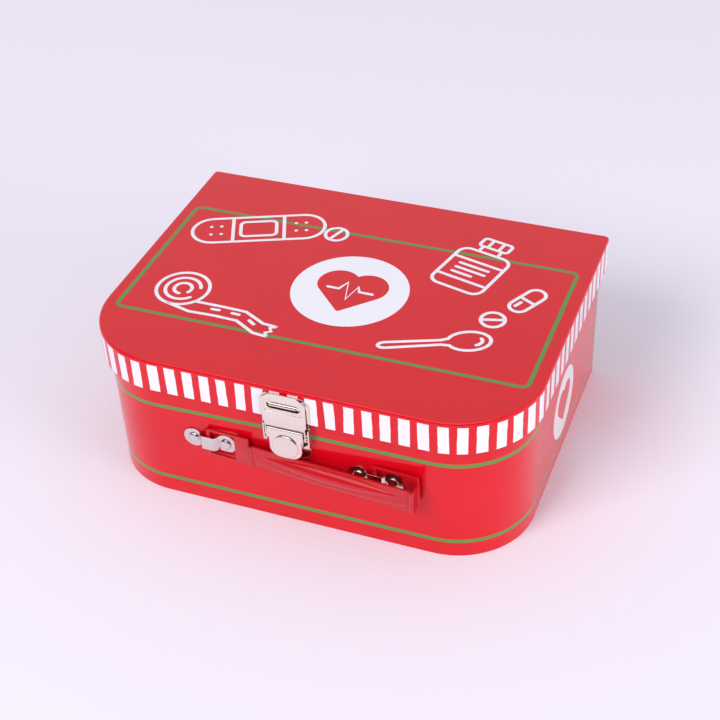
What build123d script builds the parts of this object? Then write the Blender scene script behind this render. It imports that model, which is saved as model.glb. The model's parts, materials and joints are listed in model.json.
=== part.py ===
from build123d import *
import os
from math import cos, radians, sin

# A child's doctor case: a covered cardboard case with an overlapping lid, two rear hinges,
# a draw latch and a folding carrying handle.
# Millimetres. X to the right, Y to the rear, Z up. The origin is the middle of the underside.

os.makedirs("parts", exist_ok=True)

# ---------------------------------------------------------------- driving sizes

# Whole case, over the lid
case_width = 250.0
case_depth = 186.0
case_height = 95.0
front_corner_radius = 47.0
rear_fold_radius = 0.5        # of the innermost sheet at the square rear corners
lid_skirt_height = 20.0
lid_edge_radius = 1.5         # along the lid's top edge

# Sheets
board = 1.6                   # greyboard
paper = 0.3                   # printed cover paper
lining = 0.2                  # plain lining paper
turn_in = 10.0                # cover paper folded over the rims
turn_down = 2.2               # top sheet folded down over the lid's edge

# Fits between lid and base
skirt_gap = 1.2
rim_gap = 0.9

# Rivets
shank_radius = 1.4
dome_radius = 3.2
dome_height = 1.3
dome_round = 1.1
flat_head_radius = 2.6
flat_head_height = 0.4
flat_head_round = 0.25
tail_radius = 2.2
tail_height = 0.6
washer_radius = 4.5
washer_thickness = 0.6

# Rear hinges
hinge_spacing = 140.0
hinge_width = 26.0
hinge_leaf = 0.7
hinge_leaf_height = 12.0      # lid leaf, from the pin up
hinge_base_leaf_height = 16.2
hinge_ramp_foot = 4.7         # below the pin
hinge_ramp_top = 1.3          # below the pin
hinge_leaf_corner = 2.0
hinge_rivet_margin = 4.2      # from the leaves' free edges
hinge_pin_radius = 0.8
hinge_knuckle_radius = 1.6
hinge_knuckle_drop = 0.8      # knuckle centre below the lid's lower edge
hinge_centre_knuckle = 8.6
hinge_rivet_pitch = 15.0
hinge_side_gap = 0.2
running_fit = 0.05

# Latch
latch_plate = 0.8             # steel of the lever, strap and base plate
plate_edge = 0.2              # rounding along the fronts of the steel plates
catch_plate_thickness = 0.6
catch_half_width = 14.0
catch_bottom_margin = 1.0     # above the lid's lower edge
catch_height = 15.4
catch_chamfer = 3.6
catch_bar_radius = 1.1
catch_bar_length = 15.0
catch_bar_stand = 1.0         # bar's axis in front of the catch plate
catch_bar_web = 1.4
catch_bar_height = 9.5        # above the catch plate's lower edge
catch_rivet_spread = 21.2
catch_rivet_height = 11.3     # above the catch plate's lower edge
latch_gap = 0.2
lever_axis_drop = 5.7         # lever's pin below the lid's lower edge
lever_axis_stand = 4.2        # lever's pin in front of the base wall
lever_pin_radius = 0.8
lever_top_rise = 0.9
lever_handle_gap = 0.3         # between the lever's lower end and the handle's top edge
lever_shoulder_half_width = 10.2
lever_shoulder_length = 6.6
lever_half_width = 9.2
lever_end_radius = 6.5
lever_cup_depth = 2.2
lever_edge_radius = 0.6
pin_lobe_radius = 1.5
boss_radius = 7.4
boss_height = 0.9
boss_margin = 0.8             # between the boss and the lever's lower end
strap_axis_reach = 5.0        # between the two pins
strap_axis_lean = 0.6         # strap's pin nearer the wall than the lever's pin
strap_pin_radius = 0.8
strap_pin_head_radius = 1.3
strap_pin_head = 0.4
pin_end_reach = 0.15          # of the lever's pin beyond the lever's walls
strap_half_width = 12.2
strap_foot_half_width = 11.4
strap_foot_height = 2.0
strap_bottom_drop = 4.0       # strap's lower edge below the lid's lower edge
strap_height = 21.4
strap_chamfer_across = 3.8
strap_chamfer_down = 4.6
strap_slot_length = 18.6
strap_slot_height = 4.4
strap_slot_top = 5.4          # from the strap's top edge to the slot
strap_dish_length = 21.6
strap_dish_height = 7.6
strap_dish_depth = 0.3
strap_dish_drop = 0.5
strap_dish_corner = 2.0
base_plate_half_width = 12.0
base_plate_height = 23.6
base_plate_corner = 5.0
flange_half_width = 13.0
flange_height = 14.4
flange_stand = 4.6
flange_corner = 2.5
flange_top_drop = 2.4         # flange's top below the lid's lower edge
lug_half_width = 9.1
lug_radius = 1.25
lug_arm_height = 1.6
base_rivet_spread = 10.0
base_rivet_height = 8.5       # above the base plate's lower edge

# Handle
handle_drop = 29.5            # middle of the brackets below the lid's lower edge
bracket_plate = 0.8
bracket_step = 2.8            # clear space under the raised middle
bracket_bridge = 7.2          # flat width of the raised middle
bracket_ramp = 2.2
bracket_pitch = 19.0
bracket_inner_rivet = 38.1
bracket_lobe_radius = 5.9
bracket_neck = 8.6
bracket_neck_radius = 2.0
loop_bar_radius = 1.1
loop_rail = 1.6               # above and below the window
loop_window_radius = 0.8
loop_thickness = 1.2
loop_length = 23.8            # between its two axes
loop_rest_angle = 3.0         # from the wall
loop_window_gap = 0.3         # beyond the bracket's end
loop_window_room = 1.8        # above and below the bracket
loop_stand = 1.4              # bar's axis in front of the wall
handle_swing = 150.0          # of the loops, from rest to folded over
knee_gap = 0.2                # round the loops' outer ends
grip_drop = 2.0               # middle of the grip below the middle of the brackets
grip_lean = 4.1               # degrees, the right end farther from the wall
grip_strip = 14.2
grip_web = 1.4
grip_return = 1.2             # thickness of the edge that turns back at the right end
grip_bead_radius = 1.2
grip_ridge_radius = 4.0
grip_ridge_length = 82.0
grip_ridge_rise = 1.8
grip_pad = 0.4
grip_pad_end_rise = 3.6       # pad's lower edge above the strip's lower edge, at the ends
grip_pad_middle_rise = 0.6

# ---------------------------------------------------------------- derived places

lid_bottom = case_height - lid_skirt_height
lid_board_bottom = case_height - paper - board
lid_ceiling = lid_board_bottom - lining
lid_inset = paper + board + paper
base_rim = lid_ceiling - rim_gap
wall_inset = lid_inset + skirt_gap
wall_board_inset = wall_inset + paper
wall_inside = wall_board_inset + board
base_inset = wall_inside + paper
floor_top = paper + board
handle_height = lid_bottom - handle_drop

front_wall = wall_inset - case_depth / 2
rear_wall = case_depth / 2 - wall_inset
inside_face = paper + board + lining

# Sketch planes. On these x runs along the wall and y up, and the normal points away from the
# case; on the rear planes x runs to the left.
front = Plane(origin=(0, front_wall, 0), x_dir=(1, 0, 0), z_dir=(0, -1, 0))
lid_front = front.offset(wall_inset)
rear = Plane(origin=(0, rear_wall, 0), x_dir=(-1, 0, 0), z_dir=(0, 1, 0))
lid_rear = rear.offset(wall_inset)
# Seen from the side: x is the distance out from the wall, y is the height.
front_side = Plane(origin=(0, front_wall, 0), x_dir=(0, -1, 0), z_dir=(-1, 0, 0))
rear_side = Plane(origin=(0, rear_wall, 0), x_dir=(0, 1, 0), z_dir=(1, 0, 0))
# Seen from below: x runs right and y is the distance out from the front wall.
handle_plan = Plane(origin=(0, front_wall, handle_height), x_dir=(1, 0, 0), z_dir=(0, 0, -1))
from_below = (Align.CENTER, Align.MIN)

# Rivets
catch_bottom = lid_bottom + catch_bottom_margin
catch_rivets_at = [
    (side * catch_rivet_spread / 2, catch_bottom + catch_rivet_height) for side in (-1, 1)
]
base_plate_top = lid_bottom - flange_top_drop
base_plate_bottom = base_plate_top - base_plate_height
latch_rivets_at = [
    (side * base_rivet_spread / 2, base_plate_bottom + base_rivet_height) for side in (-1, 1)
]
hands = {"left": -1, "right": 1}
bracket_outer_rivet = bracket_inner_rivet + bracket_pitch
hinge_axis_out = wall_inset + hinge_knuckle_radius
hinge_axis_height = lid_bottom - hinge_knuckle_drop
hinge_base_bottom = hinge_axis_height - hinge_base_leaf_height
hinge_lid_rivet_height = hinge_axis_height + hinge_leaf_height - hinge_rivet_margin
hinge_base_rivet_height = hinge_base_bottom + hinge_rivet_margin
hinge_rivet_xs = {
    side: [hand * (hinge_spacing + step * hinge_rivet_pitch) / 2 for step in (-1, 1)]
    for side, hand in hands.items()
}
all_hinge_xs = hinge_rivet_xs["left"] + hinge_rivet_xs["right"]
handle_rivet_xs = {
    side: [hand * bracket_inner_rivet, hand * bracket_outer_rivet] for side, hand in hands.items()
}
all_handle_xs = handle_rivet_xs["left"] + handle_rivet_xs["right"]

# Latch: the two pins, and the layers that lie over each other in front of the base wall
lever_axis = (lever_axis_stand, lid_bottom - lever_axis_drop)
strap_axis = (
    lever_axis_stand - strap_axis_lean,
    lever_axis[1] - (strap_axis_reach**2 - strap_axis_lean**2) ** 0.5,
)
catch_front = wall_inset + catch_plate_thickness
strap_bottom = lid_bottom - strap_bottom_drop
strap_slot_middle = strap_bottom + strap_height - strap_slot_top - strap_slot_height / 2
strap_back = catch_front + flat_head_height + latch_gap
strap_front = strap_back + latch_plate
lever_back = strap_front + latch_gap
lever_front = lever_back + latch_plate

# Handle: the loops' axes, as distances to the right and out from the front wall
bracket_middle = bracket_inner_rivet + bracket_pitch / 2
bracket_front = bracket_step + bracket_plate
bracket_reach = bracket_pitch / 2 + bracket_lobe_radius
bracket_bends = [
    (-bracket_reach, 0),
    (-bracket_bridge / 2 - bracket_ramp, 0),
    (-bracket_bridge / 2, bracket_step),
    (bracket_bridge / 2, bracket_step),
    (bracket_bridge / 2 + bracket_ramp, 0),
    (bracket_reach, 0),
]
loop_axis_x = bracket_middle
loop_strip = 2 * (bracket_lobe_radius + loop_window_room + loop_rail)
loop_window_end = bracket_reach + loop_window_gap
loop_reach_x = loop_length * cos(radians(loop_rest_angle))
loop_reach_out = loop_length * sin(radians(loop_rest_angle))
grip_height = handle_height - grip_drop
# The loops' outer axes are level; the grip leans away from the line between them.
knee_x = loop_reach_x - loop_axis_x
knee_out = loop_stand + loop_reach_out
knee_room = loop_thickness / 2 + knee_gap
knee_fold = 180 - loop_rest_angle - handle_swing + grip_lean
knee_span = 2 * loop_axis_x * cos(radians(grip_lean))
knee_depth = 2 * loop_axis_x * sin(radians(grip_lean))
grip_end = knee_span + grip_return / 2
grip_length = grip_end - knee_room
grip_middle = (grip_end + knee_room) / 2
lever_bottom = grip_height + grip_strip / 2 + lever_handle_gap
lever_top = lever_axis[1] + lever_top_rise
lever_rim_length = lever_top - lever_shoulder_length - lever_bottom


# ---------------------------------------------------------------- shared shapes

def footprint(inset, innermost):
    """Outline from above, inside the lid's outer face; the rear corners are folded sharp."""
    with BuildSketch() as outline:
        Rectangle(case_width - 2 * inset, case_depth - 2 * inset)
        fillet(outline.vertices().group_by(Axis.Y)[0], front_corner_radius - inset)
        fillet(outline.vertices().group_by(Axis.Y)[-1], rear_fold_radius + innermost - inset)
    return outline.sketch


def band(outer, inner, innermost):
    """Closed strip from above, between two insets."""
    return footprint(outer, innermost) - footprint(inner, innermost)


def holes(plane, places, radius=shank_radius):
    """Discs on a plane, to cut round holes with."""
    with BuildSketch(plane) as discs:
        with Locations(*places):
            Circle(radius)
    return discs.sketch


def rivets(builder, plane, places, grip, head_radius, head_height, head_round):
    """Rivets with their heads standing on a plane; grip is the thickness they hold together."""
    extrude(holes(plane, places, head_radius), amount=head_height)
    outward = Axis(plane.origin, plane.z_dir)
    fillet(builder.edges(Select.LAST).group_by(outward)[-1], head_round)
    extrude(holes(plane, places), amount=-grip)
    extrude(holes(plane.offset(-grip), places, tail_radius), amount=-tail_height)


def washers(plane, places):
    """Washers lying against the inner side of a plane."""
    extrude(holes(plane, places, washer_radius), amount=-washer_thickness)
    extrude(holes(plane, places), amount=-washer_thickness, mode=Mode.SUBTRACT)


def pair_of_planes(half_width):
    """The side planes that a left and a right steel wall are drawn on, each one plate thick."""
    return front_side.offset(half_width), front_side.offset(latch_plate - half_width)


def finish(builder, label):
    """Name the piece and write it out."""
    builder.part.label = label
    export_step(builder.part, f"parts/{label}.step")


lid_outline = footprint(0, lid_inset)
lid_board_outline = footprint(paper, lid_inset)
lid_lining_outline = footprint(paper + board, lid_inset)
lid_paper_band = band(0, paper, lid_inset)
lid_board_band = band(paper, paper + board, lid_inset)
lid_turn_band = band(paper + board, lid_inset, lid_inset)
lid_lining_band = band(paper + board, paper + board + lining, lid_inset)
base_outline = footprint(wall_inset, base_inset)
base_paper_band = band(wall_inset, wall_board_inset, base_inset)
base_board_band = band(wall_board_inset, wall_inside, base_inset)
base_turn_band = band(wall_inside, base_inset, base_inset)
base_lining_band = band(wall_inside, wall_inside + lining, base_inset)
floor_outline = footprint(wall_inside, base_inset)
floor_lining_outline = footprint(wall_inside + lining, base_inset)

front_wall_holes = holes(
    front, latch_rivets_at + [(x, handle_height) for x in all_handle_xs]
)
rear_wall_holes = holes(rear, [(x, hinge_base_rivet_height) for x in all_hinge_xs])
front_skirt_holes = holes(lid_front, catch_rivets_at)
rear_skirt_holes = holes(lid_rear, [(x, hinge_lid_rivet_height) for x in all_hinge_xs])

# ---------------------------------------------------------------- base

with BuildPart() as base_bottom_sheet:
    with BuildSketch():
        add(base_outline)
    extrude(amount=paper)
finish(base_bottom_sheet, "base_bottom_sheet")

with BuildPart() as base_floor_board:
    with BuildSketch(Plane.XY.offset(paper)):
        add(floor_outline)
    extrude(amount=board)
finish(base_floor_board, "base_floor_board")

with BuildPart() as base_floor_lining:
    with BuildSketch(Plane.XY.offset(floor_top)):
        add(floor_lining_outline)
    extrude(amount=lining)
finish(base_floor_lining, "base_floor_lining")

with BuildPart() as base_wall_board:
    with BuildSketch(Plane.XY.offset(paper)):
        add(base_board_band)
    extrude(amount=base_rim - 2 * paper)
    extrude(front_wall_holes, amount=-inside_face, mode=Mode.SUBTRACT)
    extrude(rear_wall_holes, amount=-inside_face, mode=Mode.SUBTRACT)
finish(base_wall_board, "base_wall_board")

# The cover paper goes up the wall, over the rim and a little way down inside.
with BuildPart() as base_wrap:
    with BuildSketch(Plane.XY.offset(paper)):
        add(base_paper_band)
    extrude(amount=base_rim - paper)
    with BuildSketch(Plane.XY.offset(base_rim - paper)):
        add(base_board_band)
    extrude(amount=paper)
    with BuildSketch(Plane.XY.offset(base_rim - turn_in)):
        add(base_turn_band)
    extrude(amount=turn_in)
    extrude(front_wall_holes, amount=-inside_face, mode=Mode.SUBTRACT)
    extrude(rear_wall_holes, amount=-inside_face, mode=Mode.SUBTRACT)
finish(base_wrap, "base_wrap")

with BuildPart() as base_wall_lining:
    with BuildSketch(Plane.XY.offset(floor_top)):
        add(base_lining_band)
    extrude(amount=base_rim - turn_in - floor_top)
    extrude(front_wall_holes, amount=-inside_face, mode=Mode.SUBTRACT)
    extrude(rear_wall_holes, amount=-inside_face, mode=Mode.SUBTRACT)
finish(base_wall_lining, "base_wall_lining")

# ---------------------------------------------------------------- lid

with BuildPart() as lid_top_board:
    with BuildSketch(Plane.XY.offset(lid_board_bottom)):
        add(lid_board_outline)
    extrude(amount=board)
    fillet(lid_top_board.faces().sort_by(Axis.Z)[-1].edges(), lid_edge_radius - paper)
finish(lid_top_board, "lid_top_board")

with BuildPart() as lid_under_top_sheet:
    with BuildSketch(Plane.XY.offset(case_height - turn_down)):
        add(lid_board_outline)
    extrude(amount=turn_down - paper)
    fillet(lid_under_top_sheet.faces().sort_by(Axis.Z)[-1].edges(), lid_edge_radius - paper)

with BuildPart() as lid_top_sheet:
    with BuildSketch(Plane.XY.offset(case_height - turn_down)):
        add(lid_outline)
    extrude(amount=turn_down)
    fillet(lid_top_sheet.faces().sort_by(Axis.Z)[-1].edges(), lid_edge_radius)
    add(lid_under_top_sheet.part, mode=Mode.SUBTRACT)
finish(lid_top_sheet, "lid_top_sheet")

with BuildPart() as lid_skirt_board:
    with BuildSketch(Plane.XY.offset(lid_bottom + paper)):
        add(lid_board_band)
    extrude(amount=lid_board_bottom - lid_bottom - paper)
    extrude(front_skirt_holes, amount=-lid_inset, mode=Mode.SUBTRACT)
    extrude(rear_skirt_holes, amount=-lid_inset, mode=Mode.SUBTRACT)
finish(lid_skirt_board, "lid_skirt_board")

# The striped paper hangs down the skirt, turns under its lower edge and goes up inside.
with BuildPart() as lid_stripe_band:
    with BuildSketch(Plane.XY.offset(lid_bottom)):
        add(lid_paper_band)
    extrude(amount=lid_skirt_height - turn_down)
    with BuildSketch(Plane.XY.offset(lid_bottom)):
        add(lid_board_band)
    extrude(amount=paper)
    with BuildSketch(Plane.XY.offset(lid_bottom)):
        add(lid_turn_band)
    extrude(amount=turn_in)
    extrude(front_skirt_holes, amount=-lid_inset, mode=Mode.SUBTRACT)
    extrude(rear_skirt_holes, amount=-lid_inset, mode=Mode.SUBTRACT)
finish(lid_stripe_band, "lid_stripe_band")

with BuildPart() as lid_skirt_lining:
    with BuildSketch(Plane.XY.offset(lid_bottom + turn_in)):
        add(lid_lining_band)
    extrude(amount=lid_ceiling - lid_bottom - turn_in)
    extrude(front_skirt_holes, amount=-lid_inset, mode=Mode.SUBTRACT)
finish(lid_skirt_lining, "lid_skirt_lining")

with BuildPart() as lid_ceiling_lining:
    with BuildSketch(Plane.XY.offset(lid_ceiling)):
        add(lid_lining_outline)
    extrude(amount=lining)
finish(lid_ceiling_lining, "lid_ceiling_lining")

# ---------------------------------------------------------------- rear hinges

for side, hand in hands.items():
    hinge_x = hand * hinge_spacing / 2
    hinge_start = rear_side.offset(hinge_x - hinge_width / 2)
    hinge_end = rear_side.offset(hinge_x + hinge_width / 2)
    hinge_centre = rear_side.offset(hinge_x)
    hinge_axis = [(hinge_axis_out, hinge_axis_height)]
    relief_radius = hinge_knuckle_radius + hinge_side_gap
    outer_knuckle = (hinge_width - hinge_centre_knuckle) / 2
    lid_places = [(-x, hinge_lid_rivet_height) for x in hinge_rivet_xs[side]]
    base_places = [(-x, hinge_base_rivet_height) for x in hinge_rivet_xs[side]]

    # A plate on the rear skirt that ends in the two outer knuckles.
    with BuildPart() as hinge_lid_leaf:
        with BuildSketch(lid_rear) as leaf:
            with Locations((-hinge_x, hinge_axis_height)):
                Rectangle(hinge_width, hinge_leaf_height, align=from_below)
            fillet(leaf.vertices().group_by(Axis.Y)[-1], hinge_leaf_corner)
        extrude(amount=hinge_leaf)
        extrude(holes(hinge_start, hinge_axis, hinge_knuckle_radius), amount=hinge_width)
        extrude(
            holes(hinge_centre, hinge_axis, relief_radius),
            amount=hinge_centre_knuckle / 2 + hinge_side_gap,
            both=True,
            mode=Mode.SUBTRACT,
        )
        extrude(
            holes(hinge_start, hinge_axis, hinge_pin_radius + running_fit),
            amount=hinge_width,
            mode=Mode.SUBTRACT,
        )
        extrude(holes(lid_rear, lid_places), amount=hinge_leaf, mode=Mode.SUBTRACT)
    finish(hinge_lid_leaf, f"hinge_lid_leaf_{side}")

    # A plate on the base wall, stepped out under the skirt to the centre knuckle.
    with BuildPart() as hinge_base_leaf:
        with BuildSketch(hinge_start):
            with BuildLine():
                FilletPolyline(
                    (hinge_leaf / 2, hinge_base_bottom),
                    (hinge_leaf / 2, hinge_axis_height - hinge_ramp_foot),
                    (wall_inset + hinge_leaf / 2, hinge_axis_height - hinge_ramp_top),
                    (wall_inset + hinge_leaf / 2, hinge_axis_height),
                    radius=hinge_leaf,
                )
            trace(line_width=hinge_leaf)
        extrude(amount=hinge_width)
        extrude(
            holes(hinge_start, hinge_axis, relief_radius),
            amount=outer_knuckle,
            mode=Mode.SUBTRACT,
        )
        extrude(
            holes(hinge_end, hinge_axis, relief_radius),
            amount=-outer_knuckle,
            mode=Mode.SUBTRACT,
        )
        extrude(
            holes(hinge_centre, hinge_axis, hinge_knuckle_radius),
            amount=hinge_centre_knuckle / 2,
            both=True,
        )
        extrude(
            holes(hinge_start, hinge_axis, hinge_pin_radius),
            amount=hinge_width,
            mode=Mode.SUBTRACT,
        )
        extrude(holes(rear, base_places), amount=hinge_leaf, mode=Mode.SUBTRACT)
    finish(hinge_base_leaf, f"hinge_base_leaf_{side}")

    with BuildPart() as hinge_pin:
        extrude(holes(hinge_start, hinge_axis, hinge_pin_radius), amount=hinge_width)
    finish(hinge_pin, f"hinge_pin_{side}")

    with BuildPart() as hinge_lid_rivets:
        rivets(
            hinge_lid_rivets, lid_rear.offset(hinge_leaf), lid_places, hinge_leaf + lid_inset,
            flat_head_radius, flat_head_height, flat_head_round,
        )
    finish(hinge_lid_rivets, f"hinge_lid_rivets_{side}")

    with BuildPart() as hinge_base_rivets:
        rivets(
            hinge_base_rivets, rear.offset(hinge_leaf), base_places,
            hinge_leaf + inside_face + washer_thickness,
            flat_head_radius, flat_head_height, flat_head_round,
        )
    finish(hinge_base_rivets, f"hinge_base_rivets_{side}")

    with BuildPart() as hinge_base_washers:
        washers(rear.offset(-inside_face), base_places)
    finish(hinge_base_washers, f"hinge_base_washers_{side}")

# ---------------------------------------------------------------- draw latch

# The plate on the lid, with the bar that the strap hooks over.
with BuildPart() as lid_catch:
    with BuildSketch(lid_front) as catch_outline:
        with Locations((0, catch_bottom)):
            Rectangle(2 * catch_half_width, catch_height, align=from_below)
        chamfer(catch_outline.vertices().group_by(Axis.Y)[-1], catch_chamfer)
        fillet(catch_outline.vertices().group_by(Axis.Y)[0], catch_bottom_margin)
    extrude(amount=catch_plate_thickness)
    fillet(lid_catch.faces().sort_by(Axis.Y)[0].edges(), plate_edge)
    with BuildSketch(lid_front.offset(catch_plate_thickness)):
        with Locations((0, catch_bottom + catch_bar_height)):
            Rectangle(catch_bar_length, catch_bar_web)
    extrude(amount=catch_bar_stand)
    with BuildSketch(front_side):
        with Locations((catch_front + catch_bar_stand, catch_bottom + catch_bar_height)):
            Circle(catch_bar_radius)
    extrude(amount=catch_bar_length / 2, both=True)
    extrude(front_skirt_holes, amount=catch_plate_thickness, mode=Mode.SUBTRACT)
finish(lid_catch, "lid_catch")

with BuildPart() as lid_catch_rivets:
    rivets(
        lid_catch_rivets, front.offset(catch_front), catch_rivets_at,
        catch_plate_thickness + inside_face, flat_head_radius, flat_head_height, flat_head_round,
    )
finish(lid_catch_rivets, "lid_catch_rivets")

# A channel on the base wall: two outer walls beside the strap and two lugs that hold the pin.
with BuildPart() as latch_base_plate:
    with BuildSketch(front) as base_plate_outline:
        with Locations((0, base_plate_bottom)):
            Rectangle(2 * base_plate_half_width, base_plate_height, align=from_below)
        fillet(base_plate_outline.vertices().group_by(Axis.Y)[0], base_plate_corner)
        with Locations((0, base_plate_top - flange_height)):
            Rectangle(2 * flange_half_width, flange_height, align=from_below)
    extrude(amount=latch_plate)
    with BuildSketch(*pair_of_planes(flange_half_width)) as flange_outline:
        with Locations((0, base_plate_top - flange_height)):
            Rectangle(flange_stand, flange_height, align=(Align.MIN, Align.MIN))
        fillet(flange_outline.vertices().group_by(Axis.X)[-1], flange_corner)
    extrude(amount=-latch_plate)
    with BuildSketch(*pair_of_planes(lug_half_width)):
        with Locations((0, lever_axis[1])):
            Rectangle(lever_axis_stand, lug_arm_height, align=(Align.MIN, Align.CENTER))
        with Locations(lever_axis):
            Circle(lug_radius)
            Circle(lever_pin_radius, mode=Mode.SUBTRACT)
    extrude(amount=-latch_plate)
    extrude(holes(front, latch_rivets_at), amount=latch_plate, mode=Mode.SUBTRACT)
finish(latch_base_plate, "latch_base_plate")

with BuildPart() as latch_base_rivets:
    rivets(
        latch_base_rivets, front.offset(latch_plate), latch_rivets_at,
        latch_plate + inside_face + washer_thickness,
        flat_head_radius, flat_head_height, flat_head_round,
    )
finish(latch_base_rivets, "latch_base_rivets")

with BuildPart() as latch_base_washers:
    washers(front.offset(-inside_face), latch_rivets_at)
finish(latch_base_washers, "latch_base_washers")

with BuildPart() as latch_lever_pin:
    with BuildSketch(front_side):
        with Locations(lever_axis):
            Circle(lever_pin_radius)
    extrude(amount=lever_shoulder_half_width + pin_end_reach, both=True)
finish(latch_lever_pin, "latch_lever_pin")

# A shallow steel cup: wide shoulders at the pins, a narrower round end and a raised thumb disc.
with BuildPart() as latch_lever:
    with BuildSketch(front.offset(lever_back)) as lever_outline:
        with Locations((0, lever_bottom)):
            Rectangle(2 * lever_half_width, lever_top - lever_bottom, align=from_below)
        fillet(lever_outline.vertices().group_by(Axis.Y)[0], lever_end_radius)
        with Locations((0, lever_top - lever_shoulder_length)):
            Rectangle(2 * lever_shoulder_half_width, lever_shoulder_length, align=from_below)
        fillet(lever_outline.vertices().group_by(Axis.Y)[-1], lever_edge_radius)
    extrude(amount=latch_plate)
    fillet(latch_lever.faces().sort_by(Axis.Y)[0].edges(), lever_edge_radius)
    with BuildSketch(front.offset(lever_front - lever_cup_depth)) as lever_rim:
        with Locations((0, lever_bottom)):
            Rectangle(2 * lever_half_width, lever_rim_length, align=from_below)
        fillet(lever_rim.vertices().group_by(Axis.Y)[0], lever_end_radius)
        with Locations((0, lever_bottom + latch_plate)):
            Rectangle(
                2 * (lever_half_width - latch_plate),
                lever_rim_length,
                align=from_below,
                mode=Mode.SUBTRACT,
            )
    extrude(amount=lever_cup_depth - latch_plate)
    with BuildSketch(*pair_of_planes(lever_shoulder_half_width)):
        with Locations(lever_axis, strap_axis):
            Circle(pin_lobe_radius)
        with Locations((lever_back, lever_top - lever_edge_radius)):
            Rectangle(
                latch_plate - lever_edge_radius,
                lever_shoulder_length - lever_edge_radius,
                align=(Align.MIN, Align.MAX),
            )
        make_hull()
        with Locations(lever_axis):
            Circle(lever_pin_radius + running_fit, mode=Mode.SUBTRACT)
        with Locations(strap_axis):
            Circle(strap_pin_radius, mode=Mode.SUBTRACT)
    extrude(amount=-latch_plate)
    with BuildSketch(front.offset(lever_front)):
        with Locations((0, lever_bottom + boss_margin + boss_radius)):
            Circle(boss_radius)
    extrude(amount=boss_height)
    fillet(latch_lever.faces().sort_by(Axis.Y)[0].edges(), lever_edge_radius)
finish(latch_lever, "latch_lever")

with BuildPart() as latch_strap_pin:
    with BuildSketch(front_side):
        with Locations(strap_axis):
            Circle(strap_pin_radius)
    extrude(amount=strap_foot_half_width + running_fit, both=True)
    with BuildSketch(
        front_side.offset(strap_foot_half_width + running_fit),
        front_side.offset(-strap_foot_half_width - running_fit - strap_pin_head),
    ):
        with Locations(strap_axis):
            Circle(strap_pin_head_radius)
    extrude(amount=strap_pin_head)
finish(latch_strap_pin, "latch_strap_pin")

# The plate that hooks over the bar on the lid, with two arms down to its pin.
with BuildPart() as latch_strap:
    with BuildSketch(front.offset(strap_back)) as strap_outline:
        with Locations((0, strap_bottom + strap_foot_height)):
            Rectangle(2 * strap_half_width, strap_height - strap_foot_height, align=from_below)
        chamfer(
            strap_outline.vertices().group_by(Axis.Y)[-1],
            length=strap_chamfer_across,
            length2=strap_chamfer_down,
        )
        with Locations((0, strap_bottom)):
            Rectangle(2 * strap_foot_half_width, strap_height / 2, align=from_below)
        with Locations((0, strap_slot_middle)):
            SlotOverall(strap_slot_length, strap_slot_height, mode=Mode.SUBTRACT)
    extrude(amount=latch_plate)
    with BuildSketch(front.offset(strap_front - strap_dish_depth)):
        with Locations((0, strap_slot_middle - strap_dish_drop)):
            RectangleRounded(strap_dish_length, strap_dish_height, strap_dish_corner)
    extrude(amount=strap_dish_depth, mode=Mode.SUBTRACT)
    with BuildSketch(*pair_of_planes(strap_foot_half_width)):
        with Locations(strap_axis):
            Circle(pin_lobe_radius)
        with Locations((strap_back, strap_bottom)):
            Rectangle(latch_plate, strap_foot_height, align=(Align.MIN, Align.MIN))
        make_hull()
        with Locations(strap_axis):
            Circle(strap_pin_radius + running_fit, mode=Mode.SUBTRACT)
    extrude(amount=-latch_plate)
finish(latch_strap, "latch_strap")

# ---------------------------------------------------------------- handle

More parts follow.
